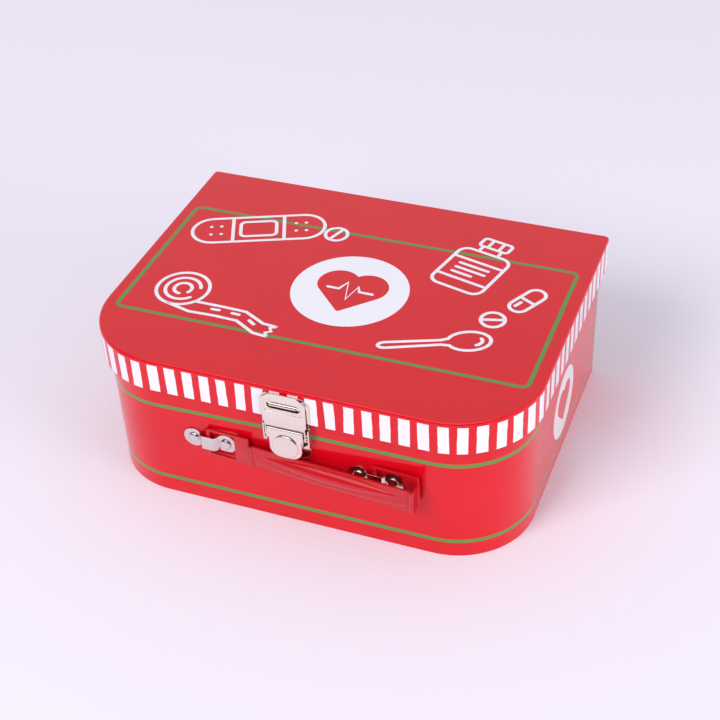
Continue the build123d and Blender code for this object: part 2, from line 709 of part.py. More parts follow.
for side, hand in hands.items():
    rivet_places = [(x, handle_height) for x in handle_rivet_xs[side]]

    # Both ends flat on the wall, the middle raised over the loop's bar.
    with BuildPart() as handle_bracket:
        with BuildSketch(handle_plan):
            with BuildLine():
                FilletPolyline(
                    *[
                        (hand * bracket_middle + across, out + bracket_plate / 2)
                        for across, out in bracket_bends
                    ],
                    radius=bracket_plate,
                )
            trace(line_width=bracket_plate)
        extrude(amount=bracket_lobe_radius, both=True)
        with BuildSketch(front) as bracket_outline:
            with Locations((hand * bracket_middle, handle_height)):
                Rectangle(bracket_pitch, bracket_neck)
            with Locations(*rivet_places):
                Circle(bracket_lobe_radius)
            neck_levels = bracket_outline.vertices().group_by(Axis.Y)
            fillet(neck_levels[0] + neck_levels[-1], bracket_neck_radius)
        extrude(amount=bracket_front, mode=Mode.INTERSECT)
        extrude(holes(front, rivet_places), amount=bracket_plate, mode=Mode.SUBTRACT)
    finish(handle_bracket, f"handle_bracket_{side}")

    with BuildPart() as handle_rivets:
        rivets(
            handle_rivets, front.offset(bracket_plate), rivet_places,
            bracket_plate + inside_face + washer_thickness, dome_radius, dome_height, dome_round,
        )
    finish(handle_rivets, f"handle_rivets_{side}")

    with BuildPart() as handle_washers:
        washers(front.offset(-inside_face), rivet_places)
    finish(handle_washers, f"handle_washers_{side}")

    # A strip with a window that swings on its bar under the bracket.
    loop_middle = (hand * loop_axis_x + loop_reach_x / 2, loop_stand + loop_reach_out / 2)
    loop_face = Plane(
        origin=(hand * loop_axis_x, front_wall - loop_stand, handle_height),
        x_dir=(loop_reach_x, -loop_reach_out, 0),
        z_dir=(-loop_reach_out, -loop_reach_x, 0),
    )
    with BuildPart() as handle_loop:
        with BuildSketch(handle_plan):
            with Locations((hand * loop_axis_x, loop_stand)):
                Circle(loop_bar_radius)
            with Locations(loop_middle):
                SlotCenterToCenter(loop_length, loop_thickness, rotation=loop_rest_angle)
        extrude(amount=loop_strip / 2, both=True)
        with BuildSketch(loop_face):
            with Locations(((loop_bar_radius + loop_window_end) / 2, 0)):
                RectangleRounded(
                    loop_window_end - loop_bar_radius,
                    loop_strip - 2 * loop_rail,
                    loop_window_radius,
                )
        extrude(amount=loop_bar_radius, both=True, mode=Mode.SUBTRACT)
    finish(handle_loop, f"handle_loop_{side}")

# The part the hand takes: a flat strip with a low pad, a long ridge and a bead at each end. It
# is thinned at the left, where the loop folds behind it, and turned back at the right.
along_grip = (cos(radians(grip_lean)), -sin(radians(grip_lean)), 0)
out_of_grip = (-sin(radians(grip_lean)), -cos(radians(grip_lean)), 0)
left_knee = (knee_x, front_wall - knee_out, grip_height)
grip_plan = Plane(origin=left_knee, x_dir=along_grip, z_dir=(0, 0, -1))
grip_face = Plane(origin=left_knee, x_dir=along_grip, z_dir=out_of_grip).offset(grip_web / 2)
grip_bead_xs = [knee_room + grip_bead_radius, grip_end - grip_bead_radius]
with BuildPart() as handle_grip:
    with BuildSketch(grip_plan):
        with Locations((grip_middle, 0)):
            Rectangle(grip_length, grip_web)
        with Locations(*[(x, grip_web / 2) for x in grip_bead_xs]):
            Circle(grip_bead_radius)
        with Locations((knee_span, 0)):
            Rectangle(grip_return, knee_depth - knee_room, align=(Align.CENTER, Align.MAX))
        Rectangle(2 * loop_length, 2 * knee_room, rotation=-knee_fold, mode=Mode.SUBTRACT)
    extrude(amount=grip_strip / 2, both=True)
    with BuildSketch(grip_face):
        with BuildLine():
            bow = ThreePointArc(
                (grip_bead_xs[0], grip_pad_end_rise - grip_strip / 2),
                (grip_middle, grip_pad_middle_rise - grip_strip / 2),
                (grip_bead_xs[1], grip_pad_end_rise - grip_strip / 2),
            )
            Polyline(
                bow @ 1,
                (grip_bead_xs[1], grip_strip / 2),
                (grip_bead_xs[0], grip_strip / 2),
                bow @ 0,
            )
        make_face()
    extrude(amount=grip_pad)
    with BuildSketch(grip_face):
        with BuildLine():
            crest = ThreePointArc(
                (grip_middle - grip_ridge_length / 2, grip_ridge_rise),
                (grip_middle, grip_ridge_rise + grip_ridge_radius),
                (grip_middle + grip_ridge_length / 2, grip_ridge_rise),
            )
            Line(crest @ 1, crest @ 0)
        make_face()
    ridge_start = grip_face.from_local_coords((0, grip_ridge_rise))
    revolve(axis=Axis(ridge_start, along_grip), revolution_arc=180)
finish(handle_grip, "handle_grip")
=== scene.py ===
import json
from math import cos, hypot, pi, radians, sin

import bmesh
import bpy
from mathutils import Matrix, Vector


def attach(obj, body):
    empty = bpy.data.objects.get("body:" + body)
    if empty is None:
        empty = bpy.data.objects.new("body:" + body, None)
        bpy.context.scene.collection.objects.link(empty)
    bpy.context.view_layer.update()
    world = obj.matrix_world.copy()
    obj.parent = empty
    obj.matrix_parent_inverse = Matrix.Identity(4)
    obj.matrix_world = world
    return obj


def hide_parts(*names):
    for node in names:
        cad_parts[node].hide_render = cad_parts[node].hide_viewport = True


# A child's doctor case. Lengths in this script are millimetres and become metres where a mesh,
# a lamp or the camera is made. X runs to the right, Y to the rear and Z up, from the middle of
# the underside.

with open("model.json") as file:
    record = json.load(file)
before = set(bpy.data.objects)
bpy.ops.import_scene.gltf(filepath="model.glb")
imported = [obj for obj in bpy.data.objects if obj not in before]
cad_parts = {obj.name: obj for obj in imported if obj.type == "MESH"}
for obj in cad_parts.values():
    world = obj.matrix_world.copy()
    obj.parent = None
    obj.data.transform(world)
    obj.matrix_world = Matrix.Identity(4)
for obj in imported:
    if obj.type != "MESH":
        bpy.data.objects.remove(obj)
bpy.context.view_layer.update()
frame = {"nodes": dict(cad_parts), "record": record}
nodes = frame["nodes"]
MM = 0.001

# ---------------------------------------------------------------- camera and light

CAMERA_AZIMUTH = radians(22.53)
CAMERA_ELEVATION = radians(38.38)
CAMERA_ROLL = radians(-2.916)
CAMERA_DISTANCE = 828.5
CAMERA_SHIFT = (4.4, -2.73)
CAMERA_AIM_HEIGHT = 47.6
LENS = 72.32
SENSOR = 36
SUBJECT = (0, 0, 40)


def aim(location, back, up):
    """World matrix of something at a place, looking against back, with up towards its top."""
    right = up.cross(back).normalized()
    turn = Matrix((right, back.cross(right).normalized(), back.normalized())).transposed()
    return Matrix.Translation(location * MM) @ turn.to_4x4()


def camera():
    """The photograph's camera, as fitted."""
    back = Vector(
        (
            sin(CAMERA_AZIMUTH) * cos(CAMERA_ELEVATION),
            -cos(CAMERA_AZIMUTH) * cos(CAMERA_ELEVATION),
            sin(CAMERA_ELEVATION),
        )
    )
    level = Vector((cos(CAMERA_AZIMUTH), sin(CAMERA_AZIMUTH), 0))
    upright = back.cross(level)
    right = cos(CAMERA_ROLL) * level + sin(CAMERA_ROLL) * upright
    up = cos(CAMERA_ROLL) * upright - sin(CAMERA_ROLL) * level
    data = bpy.data.cameras.new("camera")
    data.lens = LENS
    data.sensor_width = SENSOR
    data.clip_start = 0.01
    place = bpy.data.objects.new("camera", data)
    bpy.context.scene.collection.objects.link(place)
    location = (
        Vector((0, 0, CAMERA_AIM_HEIGHT))
        + back * CAMERA_DISTANCE
        + right * CAMERA_SHIFT[0]
        + up * CAMERA_SHIFT[1]
    )
    place.matrix_world = aim(location, back, up)
    bpy.context.scene.camera = place


def softbox(name, location, width, height, watts, colour=(1, 1, 1)):
    """A soft lamp turned to the case. It lights but isn't seen in shiny surfaces."""
    data = bpy.data.lights.new(name, "AREA")
    data.shape = "RECTANGLE"
    data.size = width * MM
    data.size_y = height * MM
    data.energy = watts
    data.color = colour
    lamp = bpy.data.objects.new(name, data)
    bpy.context.scene.collection.objects.link(lamp)
    location = Vector(location)
    lamp.matrix_world = aim(location, location - Vector(SUBJECT), Vector((0, 0.01, 1)))
    lamp.visible_glossy = False


camera()
bpy.context.scene.view_settings.view_transform = "Standard"

# ---------------------------------------------------------------- material tools

HALF_ROOT = 0.7071
HEART_TIP = 1.5


class Value:
    """An output of a material node. Arithmetic on it adds Math nodes."""

    def __init__(self, finish, socket):
        self.finish = finish
        self.socket = socket

    def __add__(self, other):
        return self.finish.math("ADD", self, other)

    def __radd__(self, other):
        return self.finish.math("ADD", other, self)

    def __sub__(self, other):
        return self.finish.math("SUBTRACT", self, other)

    def __rsub__(self, other):
        return self.finish.math("SUBTRACT", other, self)

    def __mul__(self, other):
        return self.finish.math("MULTIPLY", self, other)

    def __rmul__(self, other):
        return self.finish.math("MULTIPLY", other, self)

    def __truediv__(self, other):
        return self.finish.math("DIVIDE", self, other)

    def __abs__(self):
        return self.finish.math("ABSOLUTE", self)

    def __neg__(self):
        return self.finish.math("MULTIPLY", self, -1)


class Finish:
    """A material around one Principled shader."""

    def __init__(self, name, **settings):
        self.material = bpy.data.materials.new(name)
        self.material.use_nodes = True
        self.tree = self.material.node_tree
        self.shader = self.tree.nodes["Principled BSDF"]
        self.surface(**settings)

    def surface(self, **settings):
        """Set or link the shader's sockets; an underscore stands for a space."""
        for name, value in settings.items():
            self.feed(self.shader.inputs[name.replace("_", " ")], value)

    def feed(self, socket, value):
        if isinstance(value, Value):
            self.tree.links.new(value.socket, socket)
        elif isinstance(value, tuple) and len(value) == 3 and socket.type == "RGBA":
            socket.default_value = (*value, 1)
        else:
            socket.default_value = value

    def node(self, kind, settings, inputs, out=0):
        """Any node: its settings first, then the values or links of its sockets."""
        node = self.tree.nodes.new(kind)
        for name, value in settings.items():
            setattr(node, name, value)
        for key, value in inputs.items():
            self.feed(node.inputs[key], value)
        return Value(self, node.outputs[out])

    def math(self, operation, *values, clamp=False):
        """One Math node."""
        settings = {"operation": operation, "use_clamp": clamp}
        return self.node("ShaderNodeMath", settings, dict(enumerate(values)))

    def place(self):
        """The surface point in millimetres."""
        point = self.node("ShaderNodeTexCoord", {}, {}, "Object")
        axes = [
            self.node("ShaderNodeSeparateXYZ", {}, {"Vector": point}, axis) for axis in "XYZ"
        ]
        return [axis * 1000 for axis in axes]

    def noise(self, size, detail=2.0, roughness=0.5, stretch=(1, 1, 1)):
        """Noise from 0 to 1 whose features are about size millimetres across."""
        point = self.node("ShaderNodeTexCoord", {}, {}, "Object")
        point = self.node("ShaderNodeMapping", {}, {"Vector": point, "Scale": stretch})
        look = {"Scale": 1000 / size, "Detail": detail, "Roughness": roughness}
        return self.node("ShaderNodeTexNoise", {}, {"Vector": point, **look}, "Fac")

    def random(self, number):
        """A fixed random value from 0 to 1 for a whole number."""
        return self.node("ShaderNodeTexWhiteNoise", {"noise_dimensions": "1D"}, {"W": number})

    def mix(self, factor, first, second):
        """Between two colours."""
        inputs = {0: factor, 6: first, 7: second}
        return self.node("ShaderNodeMix", {"data_type": "RGBA"}, inputs, 2)

    def spread(self, value, low, high, from_low=0.0, from_high=1.0):
        """Value moved from one range to another, kept within it."""
        inputs = {0: value, 1: from_low, 2: from_high, 3: low, 4: high}
        return self.node("ShaderNodeMapRange", {"clamp": True}, inputs)

    def bump(self, height, distance, strength=1.0, after=None):
        """A normal from a height of 0 to 1, over a distance in millimetres."""
        inputs = {"Height": height, "Distance": distance * MM, "Strength": strength}
        if after:
            inputs["Normal"] = after
        return self.node("ShaderNodeBump", {}, inputs)

    def least(self, first, *others):
        """The smallest of some values."""
        for other in others:
            first = self.math("MINIMUM", first, other)
        return first

    def most(self, first, *others):
        """The largest of some values."""
        for other in others:
            first = self.math("MAXIMUM", first, other)
        return first

    def length(self, x, y):
        """Distance from the zero point."""
        return self.math("SQRT", x * x + y * y)

    def inked(self, distance, softness=0.12):
        """1 inside a shape and 0 outside it, from a signed distance in millimetres."""
        return self.math("MULTIPLY_ADD", distance, -1 / softness, 0.5, clamp=True)

    def box(self, x, y, half_width, half_height, corner):
        """Signed distance to a rounded rectangle."""
        across = abs(x) - (half_width - corner)
        along = abs(y) - (half_height - corner)
        outside = self.length(self.most(across, 0), self.most(along, 0))
        return outside + self.least(self.most(across, along), 0) - corner

    def heart(self, x, y, side):
        """Signed distance to a heart made of a square on its corner and two half discs."""
        left = (y - x) * HALF_ROOT
        right = (y + x) * HALF_ROOT
        half = side / 2
        return self.least(
            self.box(left, right, half, half, HEART_TIP),
            self.length(left - half, right) - half,
            self.length(left, right - half) - half,
        )


# ---------------------------------------------------------------- the printed papers

# Ink colours, and the corners that the print on the walls runs around
RED = (0.66, 0.001, 0.009)
GREEN = (0.105, 0.25, 0.045)
WHITE = (0.80, 0.78, 0.84)
LID_WHITE = (0.86, 0.85, 0.94)
FRAME_CORNER = 5.0
CORNER_X = 78.0
CORNER_Y = -46.0
BASE_CORNER = 43.6
LID_CORNER = 47.0

# The lid's upper face: its frame as half width and half depth, its disc and its heart
LID_FACE_FROM = 94.9
LID_FRAME = (118.0, 53.4)
LID_FRAME_MIDDLE = -1.25
LID_LINE_WIDTH = 2.3
LID_DISC = (1.5, -2.0)
LID_DISC_RADIUS = 33.0
LID_HEART_SIDE = 24.0
LID_HEART_DROP = 3.5

# The stripes around the lid's skirt, and how unevenly they are drawn
SKIRT_REAR_FROM = 92.5
STRIPE_PITCH = 10
STRIPE_HALF = 2.95
STRIPE_TOP = 92.6
STRIPE_BOTTOM = 75.3
STRIPE_MIDDLE = 84
STRIPE_LEAN = 0.05
STRIPE_SHIFT = 0.5
STRIPE_WOBBLE = 0.7
STRIPE_WIDENING = 0.5
STRIPE_RISE = 0.3

# The base's wall: its frame as half run and half height, and the disc and heart of each side
WRAP_REAR_FROM = 88.9
WRAP_SIDE_FROM = 121.0
BASE_FRAME = (279.0, 27.85)
BASE_FRAME_MIDDLE = 37.25
BASE_LINE_WIDTH = 2.4
BASE_LINE_FOOT = 9.4
BASE_LINE_SAG = 0.025
SIDE_DISC = (11.5, 35)
SIDE_DISC_RADIUS = 21.5
SIDE_HEART_SIDE = 15.5
SIDE_HEART_DROP = 2


def printed_paper(name):
    """Laminated red paper on board: an even colour under a clear, slightly wavy gloss."""
    finish = Finish(
        name,
        Coat_Weight=1.0,
        Coat_Roughness=0.025,
        Coat_IOR=1.42,
        Specular_IOR_Level=0.05,
    )
    board_waves = finish.noise(34.0, 2.0)
    film = finish.noise(1.6, 3.0, 0.6)
    fibres = finish.noise(0.35, 2.0, 0.7)
    waves = finish.bump(board_waves, 0.05, 0.5)
    skin = finish.bump(film, 0.003, 0.5, waves)
    finish.surface(Normal=finish.bump(fibres, 0.0008, 0.4, skin))
    finish.surface(Roughness=finish.spread(finish.noise(9.0, 4.0), 0.36, 0.50))
    return finish


def tinted(finish, colour, amount=0.03):
    """A printed colour with the slight unevenness of ink on board."""
    darker = tuple(channel * (1 - 2 * amount) for channel in colour)
    return finish.mix(finish.spread(finish.noise(26.0, 4.0), 0, 1, 0.3, 0.7), colour, darker)


def along_wall(finish, x, y, corner):
    """Distance along the wall from the middle of the front, the same to the left and right."""
    side = abs(x)
    past_x = finish.most(side - CORNER_X, 0)
    past_y = finish.most(CORNER_Y - y, 0)
    angle = finish.math("ARCTAN2", past_x, past_y)
    return finish.least(side, CORNER_X) + angle * corner + finish.most(y - CORNER_Y, 0)


def top_paper():
    """The lid's sheet: green frame, white disc and red heart on its upper face only."""
    finish = printed_paper("red_top_print")
    x, y, z = finish.place()
    colour = tinted(finish, RED)
    upward = finish.math("GREATER_THAN", z, LID_FACE_FROM)
    outline = finish.box(x, y - LID_FRAME_MIDDLE, *LID_FRAME, FRAME_CORNER)
    line = abs(outline + LID_LINE_WIDTH / 2) - LID_LINE_WIDTH / 2
    colour = finish.mix(finish.inked(line) * upward, colour, GREEN)
    across, along = x - LID_DISC[0], y - LID_DISC[1]
    disc = finish.length(across, along) - LID_DISC_RADIUS
    colour = finish.mix(finish.inked(disc) * upward, colour, LID_WHITE)
    heart = finish.heart(across, along + LID_HEART_DROP, LID_HEART_SIDE)
    colour = finish.mix(finish.inked(heart) * upward, colour, tinted(finish, RED))
    finish.surface(Base_Color=colour)
    return finish.material


def stripe_paper():
    """White stripes, drawn a little unevenly, on the red paper of the lid's skirt."""
    finish = printed_paper("striped_print")
    x, y, z = finish.place()
    rear = finish.math("GREATER_THAN", y, SKIRT_REAR_FROM)
    run = along_wall(finish, x, y, LID_CORNER)
    run = run + rear * (abs(x) - run)
    cell = finish.math("FLOOR", run / STRIPE_PITCH)

    def either_way(seed):
        """A random value of each stripe, between -0.5 and 0.5."""
        return finish.random(cell + seed) - 0.5

    lean = either_way(0.37) * (z - STRIPE_MIDDLE) * STRIPE_LEAN
    shift = either_way(11.2) * STRIPE_SHIFT
    wobble = (finish.noise(5.0, 2.0) - 0.5) * STRIPE_WOBBLE
    from_middle = run - cell * STRIPE_PITCH - STRIPE_PITCH / 2
    across = abs(from_middle + lean + shift + wobble)
    half = STRIPE_HALF + either_way(23.9) * STRIPE_WIDENING
    top = STRIPE_TOP + either_way(31.4) * STRIPE_RISE
    stripe = finish.most(across - half, z - top, STRIPE_BOTTOM - z)
    colour = finish.mix(finish.inked(stripe), tinted(finish, RED), WHITE)
    finish.surface(Base_Color=colour)
    return finish.material


def base_paper():
    """The base's paper: green frame around front and sides, a disc with a heart on each side."""
    finish = printed_paper("red_base_print")
    x, y, z = finish.place()
    run = along_wall(finish, x, y, BASE_CORNER)
    rear = finish.math("GREATER_THAN", y, WRAP_REAR_FROM)
    sag = BASE_LINE_SAG * finish.most(-x, 0)
    level = z - BASE_FRAME_MIDDLE + sag * (z - BASE_LINE_FOOT) / (2 * BASE_FRAME[1])
    outline = finish.box(run, level, *BASE_FRAME, FRAME_CORNER)
    line = abs(outline + BASE_LINE_WIDTH / 2) - BASE_LINE_WIDTH / 2
    colour = finish.mix(finish.inked(line) * (1 - rear), tinted(finish, RED), GREEN)
    on_side = finish.math("GREATER_THAN", abs(x), WRAP_SIDE_FROM)
    across, up = y - SIDE_DISC[0], z - SIDE_DISC[1]
    disc = finish.length(across, up) - SIDE_DISC_RADIUS
    colour = finish.mix(finish.inked(disc) * on_side, colour, WHITE)
    heart = finish.heart(across, up + SIDE_HEART_DROP, SIDE_HEART_SIDE)
    colour = finish.mix(finish.inked(heart) * on_side, colour, tinted(finish, RED))
    finish.surface(Base_Color=colour)
    return finish.material


def white_ink():
    finish = printed_paper("white_ink")
    finish.surface(Base_Color=tinted(finish, LID_WHITE, 0.02))
    return finish.material


def lining_paper():
    finish = Finish("lining_paper", Roughness=0.85, Specular_IOR_Level=0.3)
    grain = finish.noise(0.6, 4.0, 0.7)
    finish.surface(
        Base_Color=finish.mix(finish.noise(12.0, 5.0), (0.80, 0.78, 0.72), (0.72, 0.69, 0.63)),
        Normal=finish.bump(grain, 0.01, 0.6),
    )
    return finish.material


def grey_board():
    finish = Finish("grey_board", Roughness=0.95, Specular_IOR_Level=0.2)
    finish.surface(
        Base_Color=finish.mix(finish.noise(1.2, 5.0, 0.7), (0.34, 0.31, 0.27), (0.50, 0.47, 0.42)),
        Normal=finish.bump(finish.noise(0.4, 4.0), 0.02, 0.7),
    )
    return finish.material


def nickel(name, bright, dull):
    """Bright nickel plating with fine rolling lines and a few soft smudges."""
    finish = Finish(name, Metallic=1.0)
    lines = finish.noise(0.5, 2.0, 0.6, stretch=(1, 1, 0.06))
    smudges = finish.noise(3.0, 4.0, 0.6)
    finish.surface(
        Roughness=finish.spread(smudges, 0.07, 0.19, 0.3, 0.75),
        Base_Color=finish.mix(smudges, bright, dull),
        Normal=finish.bump(lines, 0.0012, 0.35),
    )
    return finish.material


def handle_plastic():
    finish = Finish(
        "red_handle_plastic",
        Coat_Weight=0.7,
        Coat_Roughness=0.07,
        Specular_IOR_Level=0.2,
    )
    finish.surface(
        Base_Color=finish.mix(finish.noise(8.0, 3.0), (0.54, 0.004, 0.012), (0.49, 0.003, 0.010)),
        Roughness=finish.spread(finish.noise(2.0, 4.0), 0.24, 0.38),
        Normal=finish.bump(finish.noise(0.5, 3.0), 0.0006, 0.5),
    )
    return finish.material


def dress(material, *names):
    """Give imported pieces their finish."""
    for name in names:
        slots = nodes[name].material_slots
        if slots:
            for slot in slots:
                slot.material = material
        else:
            nodes[name].data.materials.append(material)


METAL = nickel("nickel_plating", (0.94, 0.86, 0.77), (0.85, 0.77, 0.69))
# The handle's brackets get a greyer, darker copy of the same nickel. This is painted shade,
# standing in for their dull reflections and for the shade behind the grip.
SHADED_BRACKET_METAL = nickel("bracket_plating_painted_shade", (0.80, 0.76, 0.73), (0.70, 0.66, 0.64))
PLASTIC = handle_plastic()
INK = white_ink()
dress(top_paper(), "lid_top_sheet")
dress(stripe_paper(), "lid_stripe_band")
dress(base_paper(), "base_wrap", "base_bottom_sheet")
dress(lining_paper(), *[name for name in nodes if "lining" in name])
dress(grey_board(), *[name for name in nodes if name.endswith("_board")])
dress(METAL, *[name for name in nodes if name.startswith(("hinge_", "latch_", "lid_catch"))])
# The handle pieces take the darker nickel with its painted shade.
dress(SHADED_BRACKET_METAL, *[name for name in nodes if name.startswith("handle_")])

# ---------------------------------------------------------------- shaped pieces

SHARP = radians(35)


def shown(name, build, material, body, *replaced):
    """Turn a filled bmesh into a piece that rides on a body and may stand for packed ones."""
    mesh = bpy.data.meshes.new(name)
    build.to_mesh(mesh)
    build.free()
    mesh.materials.append(material)
    made = bpy.data.objects.new(name, mesh)
    bpy.context.scene.collection.objects.link(made)
    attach(made, body)
    if replaced:
        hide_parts(*replaced)


def body_with(name):
    """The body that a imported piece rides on."""
    for body, members in frame["record"]["behaviour"]["bodies"].items():
        if name in members:
            return body


def softened(name, radius, material):
    """A packed sheet piece with its cut edges rounded."""
    build = bmesh.new()
    build.from_mesh(nodes[name].data)
    bmesh.ops.remove_doubles(build, verts=build.verts, dist=1e-6)
    bmesh.ops.dissolve_limit(
        build, angle_limit=radians(0.5), verts=build.verts, edges=build.edges
    )
    for face in build.faces:
        turns = [edge.calc_face_angle(0) for edge in face.edges]
        face.smooth = any(radians(1) < turn < SHARP for turn in turns)
    sharp = [edge for edge in build.edges if edge.calc_face_angle(0) > SHARP]
    rounded = bmesh.ops.bevel(
        build,
        geom=sharp,
        offset=radius * MM,
        offset_type="OFFSET",
        affect="EDGES",
        segments=3,
        profile=0.5,
        material=-1,
        clamp_overlap=True,
    )
    for face in rounded["faces"]:
        face.smooth = True
    shown(name + "_rounded", build, material, body_with(name), name)


for side in ("left", "right"):
    softened(f"handle_bracket_{side}", 0.25, SHADED_BRACKET_METAL)
    softened(f"handle_loop_{side}", 0.3, PLASTIC)
    softened(f"hinge_lid_leaf_{side}", 0.2, METAL)
    softened(f"hinge_base_leaf_{side}", 0.2, METAL)
softened("latch_strap", 0.2, METAL)
softened("latch_base_plate", 0.2, METAL)

# Sizes of the handle's grip, along the strip, up from its middle and out from its mid-plane
STRIP_HALF = 7.1
GRIP_START = 0.8
GRIP_END = 95.556
GRIP_MIDDLE = (GRIP_START + GRIP_END) / 2
WEB_HALF = 0.7
RIDGE_UP = 1.8
RIDGE_HALF = 4.0
RIDGE_RUN = 41
PAD = 0.4
PAD_FOOT = -6.5
PAD_BOW = 3.0
PAD_RUN = 46.5
PAD_START = 2.6
PAD_SLOPES = (0.7, 0.8)
BLEND = 0.22
BLEND_DROP = 0.08
BEAD_RADIUS = 1.2
EDGE_RADIUS = 0.4
GRIP_LEAN = radians(4.1)
FOLD = radians(31.1)
KNEE = Vector((-23.8326, -92.2456, 43.5))
RIGHT_KNEE_ALONG = 94.956
RIGHT_KNEE_BACK = 6.807
KNEE_RADIUS = 0.9
TURNED_EDGE = (1.2, 6.4)
TURNED_EDGE_BACK = 3.4
BEADS = (GRIP_START + 1.2, GRIP_END - 1.2)


def on_grip(along, up, out):
    """The place in metres of a point measured on the grip."""
    run = Vector((cos(GRIP_LEAN), -sin(GRIP_LEAN), 0))
    outward = Vector((-sin(GRIP_LEAN), -cos(GRIP_LEAN), 0))
    return (KNEE + run * along + outward * out + Vector((0, 0, up))) * MM


def rise(value):
    """A smooth step from 0 to 1."""
    value = min(max(value, 0), 1)
    return value * value * (3 - 2 * value)


def arch(radius, offset):
    """Height of a round bar of some radius beside its middle line."""
    return max(radius**2 - offset**2, 0) ** 0.5


def ridge_half(along):
    """Half height of the ridge, which tapers to both ends."""
    return RIDGE_HALF * max(1 - ((GRIP_MIDDLE - along) / RIDGE_RUN) ** 2, 0)


def grip_up(along, line):
    """Height of a grid line, from -1 to 1: the middle third of the lines follows the ridge."""
    half = max(ridge_half(along), 0.5)
    if abs(line) < 1 / 3:
        return RIDGE_UP + half * sin(1.5 * pi * line)
    side = 1 if line > 0 else -1
    near, far = RIDGE_UP + side * half, side * STRIP_HALF
    return near + (far - near) * (1 - cos(pi * (1.5 * abs(line) - 0.5))) / 2


def edge_drop(up):
    """How far the face falls back at the strip's round upper and lower edge."""
    near_edge = max(EDGE_RADIUS - (STRIP_HALF - abs(up)), 0)
    return EDGE_RADIUS - arch(EDGE_RADIUS, near_edge)


def grip_front(along, up):
    """How far the front stands out: web, pad with a bowed lower edge, ridge and end beads."""
    pad_edge = PAD_FOOT + PAD_BOW * ((GRIP_MIDDLE - along) / PAD_RUN) ** 2
    from_end = min(along - PAD_START, GRIP_END - PAD_START - along)
    pad = PAD * rise((up - pad_edge) / PAD_SLOPES[0]) * rise(from_end / PAD_SLOPES[1])
    ridge = arch(ridge_half(along), up - RIDGE_UP)
    blend = 0.5 * (pad + ridge + hypot(pad - ridge, BLEND)) - BLEND_DROP
    bead = max(arch(BEAD_RADIUS, along - at) for at in BEADS)
    return WEB_HALF + max(blend, bead) - edge_drop(up)


def grip_back(along, up):
    """The flat back, thinned beside the left knee where the loop folds against it."""
    groove = GRIP_START / cos(FOLD) - along * sin(FOLD) / cos(FOLD)
    return max(-WEB_HALF + edge_drop(up), groove)


def bar(build, along, out, radius):
    """A moulded round edge over the strip's full height."""
    height = 2 * STRIP_HALF
    made = bmesh.ops.create_cone(
        build, cap_ends=True, segments=24, radius1=radius, radius2=radius, depth=height
    )["verts"]
    rims = {edge for vert in made for edge in vert.link_edges if edge.calc_face_angle(0) > SHARP}
    bevelled = bmesh.ops.bevel(
        build, geom=list(rims), offset=0.3, affect="EDGES", segments=3, profile=0.5, material=-1
    )["verts"]
    for vert in {*(v for v in made if v.is_valid), *bevelled}:
        vert.co = on_grip(along + vert.co.x, vert.co.z, out + vert.co.y)


def grip():
    """The whole moulding: the shaped strip, two round knees and the turned end on the right."""
    build = bmesh.new()
    bmesh.ops.create_grid(build, x_segments=220, y_segments=66, size=1)
    back = bmesh.ops.extrude_face_region(build, geom=build.faces[:], use_keep_orig=True)["geom"]
    back = {part for part in back if isinstance(part, bmesh.types.BMVert)}
    for vert in build.verts:
        along = GRIP_MIDDLE + (GRIP_END - GRIP_MIDDLE) * sin(vert.co.x * pi / 2)
        up = grip_up(along, vert.co.y)
        shape = grip_back if vert in back else grip_front
        vert.co = on_grip(along, up, shape(along, up))
    bar(build, 0, 0, KNEE_RADIUS)
    bar(build, RIGHT_KNEE_ALONG, -RIGHT_KNEE_BACK, KNEE_RADIUS)
    edge = bmesh.ops.create_cube(build, size=1)["verts"]
    for vert in edge:
        thick, deep = TURNED_EDGE
        vert.co = Vector((vert.co.x * thick, vert.co.y * deep, vert.co.z * 2 * STRIP_HALF))
    corners = list({line for vert in edge for line in vert.link_edges})
    bevelled = bmesh.ops.bevel(
        build, geom=corners, offset=0.35, affect="EDGES", segments=3, profile=0.5, material=-1
    )["verts"]
    for vert in {*(v for v in edge if v.is_valid), *bevelled}:
        along = RIGHT_KNEE_ALONG + vert.co.x
        vert.co = on_grip(along, vert.co.z, vert.co.y - TURNED_EDGE_BACK)
    bmesh.ops.recalc_face_normals(build, faces=build.faces)
    for face in build.faces:
        face.smooth = True
    shown("handle_grip_moulding", build, PLASTIC, "handle_grip", "handle_grip")


grip()

# ---------------------------------------------------------------- white drawings on the lid

TOP = 95.0
STROKE = 1.05
INK_HEIGHT = 0.045


def arc(middle, across, along, start, end, steps=24):
    """Points of an ellipse's arc, angles in degrees."""
    angles = [radians(start + (end - start) * step / steps) for step in range(steps + 1)]
    return [(middle[0] + across * cos(a), middle[1] + along * sin(a)) for a in angles]


def pill(middle, width, height, corner):
    """A closed outline with round corners."""
    x, y = middle
    right, top = width / 2 - corner, height / 2 - corner
    points = []
    for start, sx, sy in ((0, 1, 1), (90, -1, 1), (180, -1, -1), (270, 1, -1)):
        points += arc((x + sx * right, y + sy * top), corner, corner, start, start + 90, 8)
    return points + points[:1]


def draw(strokes, place, turn):
    """Strokes moved to their place on the lid and turned."""
    c, s = cos(radians(turn)), sin(radians(turn))
    return [
        [(place[0] + x * c - y * s, place[1] + x * s + y * c) for x, y in line]
        for line in strokes
    ]


